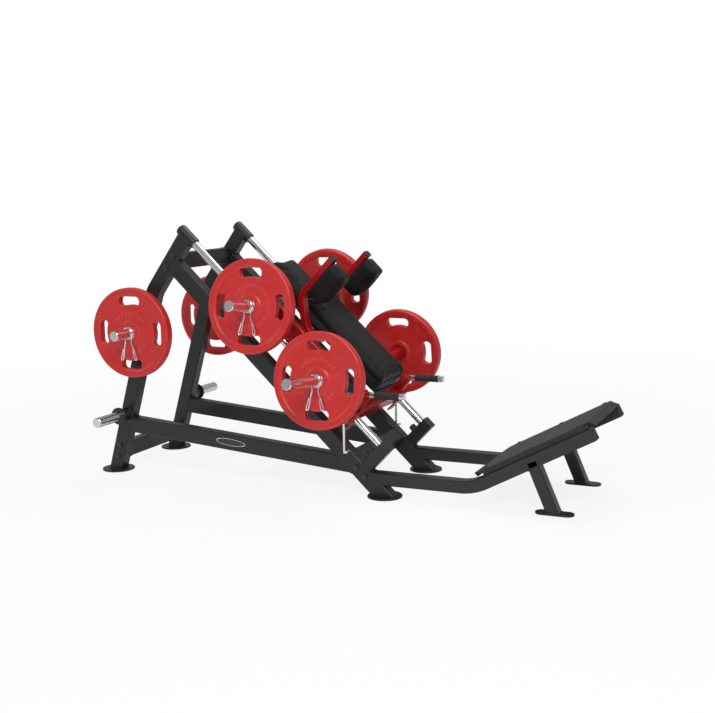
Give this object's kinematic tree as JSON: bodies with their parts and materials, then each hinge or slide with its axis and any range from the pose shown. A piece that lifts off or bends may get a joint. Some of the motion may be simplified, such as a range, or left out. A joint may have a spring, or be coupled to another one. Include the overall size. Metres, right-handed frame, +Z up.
{
  "type": "plate-loaded leg press machine",
  "caption": "Plate-loaded sled press: a padded carriage on sloping guide rods above a fixed foot plate, with weight storage horns.",
  "frame": {"origin": "on the floor, at the middle of the bounding box", "axes": "+X from the storage end towards the foot plate, +Y to the left of a user who faces the foot plate, +Z up"},
  "size_m": [2.6082, 1.5988, 1.2746],
  "materials": {
    "frame_paint": "satin powder coat",
    "foot_plate_paint": "grained powder coat",
    "rod_chrome": "polished",
    "horn_chrome": "polished, lightly scuffed",
    "wire_chrome": "polished",
    "handle_steel": "polished",
    "bolt_steel": "dark zinc",
    "bearing_steel": "ground",
    "carriage_paint": "satin powder coat",
    "pad_vinyl": "grained vinyl",
    "board_wood": "painted plywood",
    "disc_rubber": "moulded, half matt",
    "bumper_rubber": "matt",
    "grip_rubber": "matt",
    "plug_plastic": "matt"
  },
  "bodies": {
    "frame": {"upright_left": "frame_paint", "upright_right": "frame_paint", "incline_left": "frame_paint", "incline_right": "frame_paint", "rear_base_rail_left": "frame_paint", "rear_base_rail_right": "frame_paint", "front_base_rail_left": "frame_paint", "front_base_rail_right": "frame_paint", "front_legs": "frame_paint", "rod_top_holders": "frame_paint", "upper_cross_tube": "frame_paint", "rear_cross_tube": "frame_paint", "lower_cross_tube": "frame_paint", "guide_rod_left": "rod_chrome", "guide_rod_right": "rod_chrome", "rod_foot_posts": "frame_paint", "lower_bumpers": "bumper_rubber", "floor_pads": "frame_paint", "rail_end_plugs": "plug_plastic", "storage_horn_sockets": "frame_paint", "storage_horns": "horn_chrome", "foot_plate": "foot_plate_paint", "foot_plate_runners": "frame_paint", "catch_pegs": "handle_steel", "frame_bolts": "bolt_steel"},
    "carriage": {"carriage_side_left": "carriage_paint", "carriage_side_right": "carriage_paint", "bearing_housings": "carriage_paint", "linear_bearings": "bearing_steel", "carriage_cross_tubes": "carriage_paint", "carriage_bottom_cross": "carriage_paint", "horn_brackets": "carriage_paint", "loading_horns": "horn_chrome", "pad_board": "board_wood", "back_pad": "pad_vinyl", "head_pad": "pad_vinyl", "shoulder_bracket_left": "carriage_paint", "shoulder_bracket_right": "carriage_paint", "shoulder_pad_left": "pad_vinyl", "shoulder_pad_right": "pad_vinyl", "bracket_caps": "plug_plastic", "handle_bushings": "carriage_paint"},
    "handle_left": {"handle_shaft_left": "handle_steel", "handle_grip_left": "grip_rubber"},
    "storage_disc_left": {"storage_disc_left": "disc_rubber"},
    "storage_clip_left": {"storage_clip_left": "wire_chrome"},
    "upper_disc_left": {"upper_disc_left": "disc_rubber"},
    "upper_clip_left": {"upper_clip_left": "wire_chrome"},
    "lower_disc_left": {"lower_disc_left": "disc_rubber"},
    "lower_clip_left": {"lower_clip_left": "wire_chrome"},
    "handle_right": {"handle_shaft_right": "handle_steel", "handle_grip_right": "grip_rubber"},
    "storage_disc_right": {"storage_disc_right": "disc_rubber"},
    "storage_clip_right": {"storage_clip_right": "wire_chrome"},
    "upper_disc_right": {"upper_disc_right": "disc_rubber"},
    "upper_clip_right": {"upper_clip_right": "wire_chrome"},
    "lower_disc_right": {"lower_disc_right": "disc_rubber"},
    "lower_clip_right": {"lower_clip_right": "wire_chrome"}
  },
  "joints": [
    {"name": "carriage_slide", "type": "slide", "parent": "frame", "child": "carriage", "axis": [-0.7218, 0, 0.6921], "range_m": [0, 0.4]},
    {"name": "handle_turn_left", "type": "hinge", "parent": "carriage", "child": "handle_left", "pos_m": [0.20551, 0.257, 0.478], "axis": [1, 0, 0], "range_deg": [0, 40]},
    {"name": "storage_disc_pull_left", "type": "slide", "parent": "frame", "child": "storage_disc_left", "axis": [0, 1, 0], "range_m": [0, 0.1]},
    {"name": "storage_clip_pull_left", "type": "slide", "parent": "storage_disc_left", "child": "storage_clip_left", "axis": [0, 1, 0], "range_m": [0, 0.14]},
    {"name": "upper_disc_pull_left", "type": "slide", "parent": "carriage", "child": "upper_disc_left", "axis": [0, 0.994, 0.1097], "range_m": [0, 0.14]},
    {"name": "upper_clip_pull_left", "type": "slide", "parent": "upper_disc_left", "child": "upper_clip_left", "axis": [0, 0.994, 0.1097], "range_m": [0, 0.16]},
    {"name": "lower_disc_pull_left", "type": "slide", "parent": "carriage", "child": "lower_disc_left", "axis": [0, 0.994, 0.1097], "range_m": [0, 0.24]},
    {"name": "lower_clip_pull_left", "type": "slide", "parent": "lower_disc_left", "child": "lower_clip_left", "axis": [0, 0.994, 0.1097], "range_m": [0, 0.16]},
    {"name": "handle_turn_right", "type": "hinge", "parent": "carriage", "child": "handle_right", "pos_m": [0.20551, -0.257, 0.478], "axis": [-1, 0, 0], "range_deg": [0, 40]},
    {"name": "storage_disc_pull_right", "type": "slide", "parent": "frame", "child": "storage_disc_right", "axis": [0, -1, 0], "range_m": [0, 0.1]},
    {"name": "storage_clip_pull_right", "type": "slide", "parent": "storage_disc_right", "child": "storage_clip_right", "axis": [0, -1, 0], "range_m": [0, 0.14]},
    {"name": "upper_disc_pull_right", "type": "slide", "parent": "carriage", "child": "upper_disc_right", "axis": [0, -0.994, 0.1097], "range_m": [0, 0.14]},
    {"name": "upper_clip_pull_right", "type": "slide", "parent": "upper_disc_right", "child": "upper_clip_right", "axis": [0, -0.994, 0.1097], "range_m": [0, 0.16]},
    {"name": "lower_disc_pull_right", "type": "slide", "parent": "carriage", "child": "lower_disc_right", "axis": [0, -0.994, 0.1097], "range_m": [0, 0.24]},
    {"name": "lower_clip_pull_right", "type": "slide", "parent": "lower_disc_right", "child": "lower_clip_right", "axis": [0, -0.994, 0.1097], "range_m": [0, 0.16]}
  ]
}
